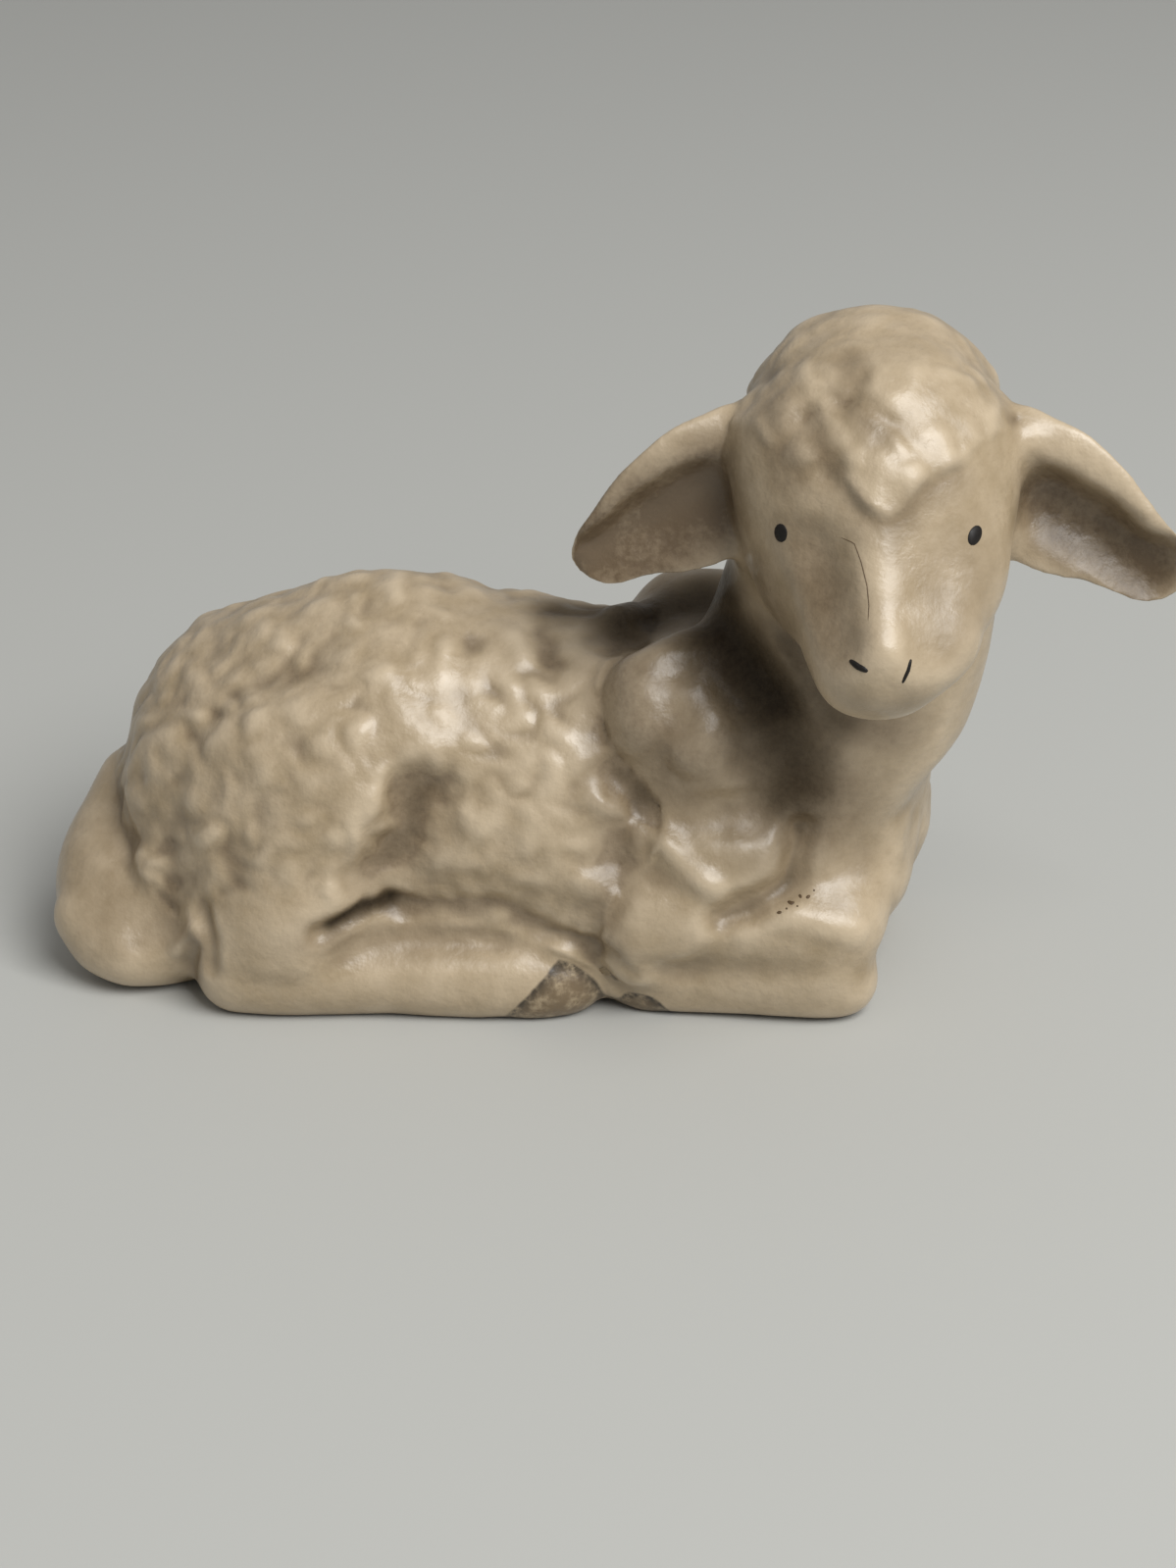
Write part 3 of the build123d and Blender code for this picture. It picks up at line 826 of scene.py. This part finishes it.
def coat_region(skin):
    """1 where wool covers the coat, fading out towards the hocks and the ground."""
    coat = skin.on(COAT_EDGE_ROUNDS, "coat")
    hocks = skin.on(HOCK_ROUNDS, *both("hind_leg"))
    fade = ramp(hocks, *HOCK_FADE) * ramp(skin.normals[:, 2], *UNDERSIDE_FADE)
    return ramp(coat, *COAT_EDGE) * fade


def wipe(skin):
    """Wipes the joints smooth, and then the pads into the castings."""
    skin.relax(FIRST_ROUNDS)
    skin.relax(WIPING_ROUNDS, joint_field(skin))
    tree = skin.tree()
    wiped = np.zeros(len(skin.points))
    for width, both_sides, pixels in WIPES.values():
        wiped = np.maximum(wiped, stroke(skin, tree, pixels, width * MM, both_sides))
    skin.relax(WIPING_ROUNDS, wiped)


def shape(skin):
    """Pulls and strokes the skin into shape, and returns the paint fields as they are brushed on."""
    tree = skin.tree()
    for name, reach, held, goal in PULLS.values():
        casting = skin.on(PULL_ROUNDS, name)
        pull(skin, tree, casting, reach * MM, held, goal)
    skin.refresh()
    tree = skin.tree()
    height = np.zeros(len(skin.points))
    for width, amount, both_sides, pixels in STROKES.values():
        height += stroke(skin, tree, pixels, width * MM, both_sides) * amount * MM
    fields = {field: np.zeros(len(skin.points)) for field in FIELDS}
    for field, width, strength, both_sides, pixels in BRUSHWORK.values():
        painted = stroke(skin, tree, pixels, width * MM, both_sides) * strength
        fields[field] = np.maximum(fields[field], painted)
    skin.lift(height)
    skin.relax(STROKE_ROUNDS)
    return fields


def grow_wool(skin):
    """Raises the wool, and faint swells all over but the head, and returns where the wool is."""
    rng = np.random.default_rng(SEED)
    coat = coat_region(skin)
    crown, crown_rim = crown_region(skin)
    region = np.maximum(coat, crown)
    _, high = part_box("head")
    bald = ramp((skin.points[:, 2] - high.z) / (BALD_REACH * MM), 1, 1) * BALD_SHARE
    depth = np.maximum(coat, crown * (1 - bald))
    lumps = noise_field(skin.points, *LUMP_NOISE)
    curls = skin.blurred(wool_locks(skin, region, rng), CURL_ROUNDS)
    warp = np.stack([noise_field(skin.points, *warping) for warping in WARP_NOISES], axis=1)
    warped = skin.points + warp * WARP_REACH * MM
    tufts = skin.blurred(np.abs(noise_field(warped, *TUFT_NOISE)), TUFT_ROUNDS)
    wool = lumps * LUMP_HEIGHT + tufts * TUFT_HEIGHT + curls * CURL_HEIGHT - WOOL_SINK
    swells = noise_field(skin.points, *SWELL_NOISE) + noise_field(skin.points, *RIPPLE_NOISE) * RIPPLE_SHARE
    trunk = skin.on(TRUNK_ROUNDS, "forequarters")
    swells *= SWELL_HEIGHT + TRUNK_SWELL * trunk
    swells *= 1 - skin.on(HEAD_ROUNDS, "head")
    skin.lift(wool * MM * depth + crown_rim * CROWN_RIM_HEIGHT * MM + swells * MM)
    skin.relax(WOOL_ROUNDS)
    skin.points[:, 2] = np.maximum(skin.points[:, 2], 0)
    return region


def paint_hollows_shade_and_crests(skin, region, fields):
    """Adds browner hollows, painted shade in deep creases, painted contact shadow at the ground and paler
    crests, partly painted highlight, to the paint fields, and the dark glaze of the hooves.
    """
    height = skin.points[:, 2]
    # Browner in the hollows, more so under the wool
    hollow_brown = ramp(cavity(skin, HOLLOW_ROUNDS) / (HOLLOW_DEPTH * MM), 1) * (HOLLOW_SHARE + HOLLOW_SHARE * region)
    # Painted shade in the deep creases, kept out of the ears
    open_air = 1 - skin.on(EAR_ROUNDS, *both("ear"))
    deep = np.clip(cavity(skin, DEEP_ROUNDS) / (DEEP_DEPTH * MM) - DEEP_START, 0, DEEP_MOST) * open_air
    # Painted contact shadow along the ground
    ground = ramp(height / (CONTACT_SHADOW_REACH * MM), -1, 1) * CONTACT_SHADOW_SHARE
    fields["wash_and_shade"] = np.maximum.reduce((fields["wash_and_shade"], hollow_brown, ground))
    fields["shade"] = np.maximum(fields["shade"], deep)
    # Paler on raised crests and on the lit patches, partly painted highlight
    raised = fields["crest"] * CREST_BRUSH - cavity(skin, CREST_ROUNDS) / (CREST_DEPTH * MM)
    fields["crest"] = ramp(raised, 1, -CREST_START)
    dipped = ramp((FORE_HOOF_TOP * MM - height) / (FORE_HOOF_EDGE * MM), 1)
    fore = skin.on(0, *both("fore_hoof")) * dipped
    hoof = np.maximum(skin.on(0, *both("hind_hoof")), fore)
    hoof *= 1 - ramp(fields.pop("bare"), BARE_GAIN)
    fields["hoof"] = skin.blurred(hoof, HOOF_ROUNDS)
    fields["horn"] = skin.blurred(hoof, HORN_ROUNDS)


def cap_rims(form, depth):
    """Closes a piece of skin: its rims turn in under the skin, and each rim is drawn to a point inside."""
    rims = [edge for edge in form.edges if edge.is_boundary]
    inward = {vert: vert.normal * -depth for edge in rims for vert in edge.verts}
    turned = bmesh.ops.extrude_edge_only(form, edges=rims)["geom"]
    inner = [item for item in turned if isinstance(item, bmesh.types.BMVert)]
    for vert in inner:
        outer = next(v for edge in vert.link_edges for v in (edge.other_vert(vert),) if v in inward)
        vert.co += inward[outer]
    # Dictionaries keep the order of their keys, so every run makes the same mesh
    waiting = dict.fromkeys(edge for edge in form.edges if edge.is_boundary)
    while waiting:
        first, _ = waiting.popitem()
        loop, front = [], [first]
        while front:
            edge = front.pop()
            loop.append(edge)
            beside = [other for vert in edge.verts for other in vert.link_edges if other in waiting]
            for other in beside:
                del waiting[other]
            front.extend(beside)
        corners = dict.fromkeys(vert for edge in loop for vert in edge.verts)
        centre = form.verts.new(sum((vert.co for vert in corners), Vector()) / len(corners))
        for edge in loop:
            start, end = edge.link_loops[0].vert, edge.link_loops[0].link_loop_next.vert
            form.faces.new((end, start, centre))


def brush_mark(name, tree, half_width, taper, pixels):
    """A stroke of thick glaze on the skin: a closed lens along a path of pixels, tapering at both ends."""
    corners = np.array(pixels, float)
    reach = path_reach(corners)
    steps = np.linspace(0, 1, MARK_STEPS)
    path = along_path(corners, reach, steps * reach[-1])
    way = np.gradient(path, axis=0)
    aside = np.stack((-way[:, 1], way[:, 0]), axis=1) / norm(way, axis=1)[:, None]
    girth = half_width * np.clip(4 * steps * (1 - steps), 0, 1) ** taper
    thickness = MARK_THICKNESS * min(1, half_width / MARK_FULL_PX)
    form = bmesh.new()
    rings = []
    for middle, across, half in zip(path, aside, girth):
        ring = []
        for share in MARK_PROFILE:
            place, normal = on_skin(tree, [middle + across * half * share])
            proud = thickness * (1 - MARK_DOME * share**2) * half / half_width
            ring.append(form.verts.new(place[0] + normal * proud))
        place, normal = on_skin(tree, [middle])
        ring.append(form.verts.new(place[0] - normal * thickness))
        rings.append(ring)
    for one, two in zip(rings, rings[1:]):
        for a in range(len(one)):
            b = (a + 1) % len(one)
            form.faces.new((one[a], one[b], two[b], two[a]))
    for end in (rings[0], rings[-1]):
        form.faces.new(end)
    bmesh.ops.remove_doubles(form, verts=form.verts, dist=MARK_WELD)
    bmesh.ops.recalc_face_normals(form, faces=form.faces)
    mesh = bpy.data.meshes.new(name)
    form.to_mesh(mesh)
    form.free()
    mesh.shade_smooth()
    return mesh


def cut_piece(skin, name, faces, fields):
    """The mesh of one piece of the skin, closed, with its paint fields and the whole skin's normals."""
    used, local = np.unique(skin.quads[faces], return_inverse=True)
    mesh = bpy.data.meshes.new(name)
    mesh.from_pydata(skin.points[used].tolist(), [], local.reshape(-1, 4).tolist())
    form = bmesh.new()
    form.from_mesh(mesh)
    form.normal_update()
    cap_rims(form, RIM_DEPTH)
    form.normal_update()
    form.to_mesh(mesh)
    form.free()
    mesh.shade_smooth()
    normals = read(mesh.vertices, "normal", 3)
    normals[: len(used)] = skin.normals[used]
    mesh.normals_split_custom_set_from_vertices(normals.tolist())
    for field, values in fields.items():
        padded = np.zeros(len(mesh.vertices), np.float32)
        padded[: len(used)] = values[used]
        mesh.attributes.new(field, "FLOAT", "POINT").data.foreach_set("value", padded)
    return mesh


def add_piece(name, mesh, material, node=None):
    """Puts a piece in the scene in place of its node, which has the piece's name unless another is given."""
    mesh.materials.append(material)
    piece = bpy.data.objects.new(f"glazed_{name}", mesh)
    scene.collection.objects.link(piece)
    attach(piece, "root")
    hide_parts(node or name)


class Shading:
    """A material's nodes, and short ways to add them."""

    def __init__(self, name):
        self.material = bpy.data.materials.new(name)
        self.material.use_nodes = True
        self.tree = self.material.node_tree
        self.shader = self.tree.nodes["Principled BSDF"]
        self.place = self.tree.nodes.new("ShaderNodeTexCoord").outputs["Object"]

    def noise(self, size, detail, roughness):
        """Noise of 0 to 1 with spots of a size in millimetres."""
        node = self.tree.nodes.new("ShaderNodeTexNoise")
        node.inputs["Scale"].default_value = 1 / (size * MM)
        node.inputs["Detail"].default_value = detail
        node.inputs["Roughness"].default_value = roughness
        self.tree.links.new(self.place, node.inputs["Vector"])
        return node.outputs["Fac"]

    def paint(self, field):
        """A paint field of the skin."""
        node = self.tree.nodes.new("ShaderNodeAttribute")
        node.attribute_name = field
        return node.outputs["Fac"]

    def span(self, value, use):
        """A value's span turned into another span, as its use asks, and kept inside it."""
        node = self.tree.nodes.new("ShaderNodeMapRange")
        for socket, bound in zip(("From Min", "From Max", "To Min", "To Max"), SPANS[use]):
            node.inputs[socket].default_value = bound
        self.tree.links.new(value, node.inputs["Value"])
        return node.outputs["Result"]

    def product(self, a, b):
        """One value times another."""
        node = self.tree.nodes.new("ShaderNodeMath")
        node.operation = "MULTIPLY"
        self.tree.links.new(a, node.inputs[0])
        self.tree.links.new(b, node.inputs[1])
        return node.outputs["Value"]

    def mix(self, share, below, above):
        """One colour or link over another, by a share."""
        node = self.tree.nodes.new("ShaderNodeMix")
        node.data_type = "RGBA"
        for socket, value in (("A", below), ("B", above)):
            if isinstance(value, tuple):
                node.inputs[socket].default_value = (*value, 1)
            else:
                self.tree.links.new(value, node.inputs[socket])
        self.tree.links.new(share, node.inputs["Factor"])
        return node.outputs["Result"]

    def bump(self, height, depth, under=None):
        """The normal of a relief, laid over another relief if one is given."""
        node = self.tree.nodes.new("ShaderNodeBump")
        node.inputs["Distance"].default_value = depth
        self.tree.links.new(height, node.inputs["Height"])
        if under:
            self.tree.links.new(under, node.inputs["Normal"])
        return node.outputs["Normal"]

    def link(self, value, socket):
        """Leads a value into the shader."""
        self.tree.links.new(value, self.shader.inputs[socket])


def glaze(name):
    """Cream glaze as the paint fields say: browner in the hollows, darker with painted shade, paler with
    painted highlight on crests, and with dark glaze on the hooves.
    """
    shading = Shading(name)
    blotches = shading.noise(*BLOTCHES)
    specks = shading.noise(*SPECKS)
    colour = shading.mix(shading.span(blotches, "warm blotches"), CREAM_PALE, CREAM_WARM)
    colour = shading.mix(shading.span(specks, "deep specks"), colour, CREAM_DEEP)
    # Paler crests and lit patches, partly painted highlight
    colour = shading.mix(shading.span(shading.paint("crest"), "bright crests"), colour, CREAM_CREST_HIGHLIGHT)
    # Browner hollows and strokes, partly painted shade and painted contact shadow
    wash_and_shade = shading.product(shading.paint("wash_and_shade"), shading.span(blotches, "blotchy wash"))
    wash_and_shade = shading.product(wash_and_shade, shading.span(specks, "specked wash"))
    colour = shading.mix(wash_and_shade, colour, WASH_AND_SHADE_BROWN)
    # Painted shade, near black and dull
    shade = shading.product(shading.paint("shade"), shading.span(specks, "specked shade"))
    colour = shading.mix(shade, colour, SHADE_DARK)
    hoof = shading.span(shading.paint("hoof"), "hoof edge")
    horn = shading.mix(shading.span(shading.paint("horn"), "horn middle"), HORN_DARK, HORN_BROWN)
    # Pale streaks in the hoof glaze, partly painted highlight
    streaks = shading.span(shading.noise(*HORN_STREAKS), "horn streaks")
    streaks = shading.product(streaks, shading.span(specks, "horn specks"))
    horn = shading.mix(streaks, horn, HORN_STREAK_HIGHLIGHT)
    colour = shading.mix(hoof, colour, horn)
    shading.link(colour, "Base Color")
    shading.link(shading.span(shading.noise(*GLOSS), "roughness"), "Roughness")
    shading.link(shading.span(shading.paint("shade"), "specular in shade"), "Specular IOR Level")
    shading.link(shading.span(shading.paint("shade"), "coat in shade"), "Coat Weight")
    shading.shader.inputs["Coat Roughness"].default_value = COAT_ROUGHNESS
    grain = shading.bump(specks, GRAIN_DEPTH)
    shading.link(shading.bump(shading.noise(*UNEVENNESS), UNEVEN_DEPTH, grain), "Normal")
    return shading.material


def thick_glaze(name, dark, pale):
    """Glaze laid on thick with a brush."""
    shading = Shading(name)
    streaks = shading.noise(*BRUSH_STREAKS)
    shading.link(shading.mix(shading.span(streaks, "brush streaks"), dark, pale), "Base Color")
    shading.link(shading.span(streaks, "brush roughness"), "Roughness")
    shading.shader.inputs["Specular IOR Level"].default_value = BRUSH_SPECULAR
    shading.link(shading.bump(streaks, BRUSH_DEPTH), "Normal")
    return shading.material


def add_floor():
    """A plain floor under the lamb."""
    low, high = -FLOOR_HALF, FLOOR_HALF
    corners = [(low, low, 0), (high, low, 0), (high, high, 0), (low, high, 0)]
    mesh = bpy.data.meshes.new("floor")
    mesh.from_pydata(corners, [], [(0, 1, 2, 3)])
    floor = bpy.data.objects.new("floor", mesh)
    scene.collection.objects.link(floor)
    material = bpy.data.materials.new("floor")
    material.use_nodes = True
    shader = material.node_tree.nodes["Principled BSDF"]
    shader.inputs["Base Color"].default_value = (*FLOOR_GREY, 1)
    shader.inputs["Roughness"].default_value = FLOOR_ROUGHNESS
    mesh.materials.append(material)


def add_light():
    """One large lamp, aimed at the origin, and an even sky."""
    lamp = bpy.data.lights.new("key", "AREA")
    lamp.size = KEY_SIZE
    lamp.energy = KEY_POWER
    light = bpy.data.objects.new("key", lamp)
    light.location = KEY_PLACE
    light.rotation_euler = Vector(KEY_PLACE).to_track_quat("Z", "Y").to_euler()
    scene.collection.objects.link(light)
    world = bpy.data.worlds.new("world")
    world.use_nodes = True
    sky = world.node_tree.nodes["Background"]
    sky.inputs["Color"].default_value = (1, 1, 1, 1)
    sky.inputs["Strength"].default_value = SKY_STRENGTH
    scene.world = world


def add_camera():
    """The photograph's camera."""
    camera = bpy.data.objects.new("camera", bpy.data.cameras.new("camera"))
    camera.data.sensor_width = SENSOR
    camera.data.lens = FOCAL_PX * SENSOR / IMAGE_HEIGHT
    camera.data.clip_start = CLIP_START
    camera.location = view_point()
    camera.rotation_euler = view_axes()[2].to_track_quat("Z", "Y").to_euler()
    scene.collection.objects.link(camera)
    scene.camera = camera
    scene.view_settings.view_transform = "Standard"


skin = Skin(remeshed(castings_mesh(), SKIN_GRID))
skin.lift(np.full(len(skin.points), -LUTING))
skin.labels = settled(skin, nearest_castings(skin.points[skin.quads].mean(axis=1)), LABEL_ROUNDS)
straighten_seams(skin, seam_edges(skin)[0], SEAM_ROUNDS)
wipe(skin)
fields = shape(skin)
region = grow_wool(skin)
paint_hollows_shade_and_crests(skin, region, fields)

cream = glaze("cream_glaze")
for number, name in enumerate(CASTINGS):
    mesh = cut_piece(skin, name, skin.labels == number, fields)
    add_piece(name, mesh, cream)

tree = skin.tree()
black = thick_glaze("black_glaze", MARK_BLACK, MARK_BROWN)
for name, brushing in MARK_STROKES.items():
    add_piece(name, brush_mark(name, tree, *brushing), black)
stain = thick_glaze("crack_stain", CRACK_DARK, CRACK_BROWN)
for name, (casting, *brushing) in FAULT_STROKES.items():
    add_piece(name, brush_mark(name, tree, *brushing), stain, casting)

add_floor()
add_light()
add_camera()
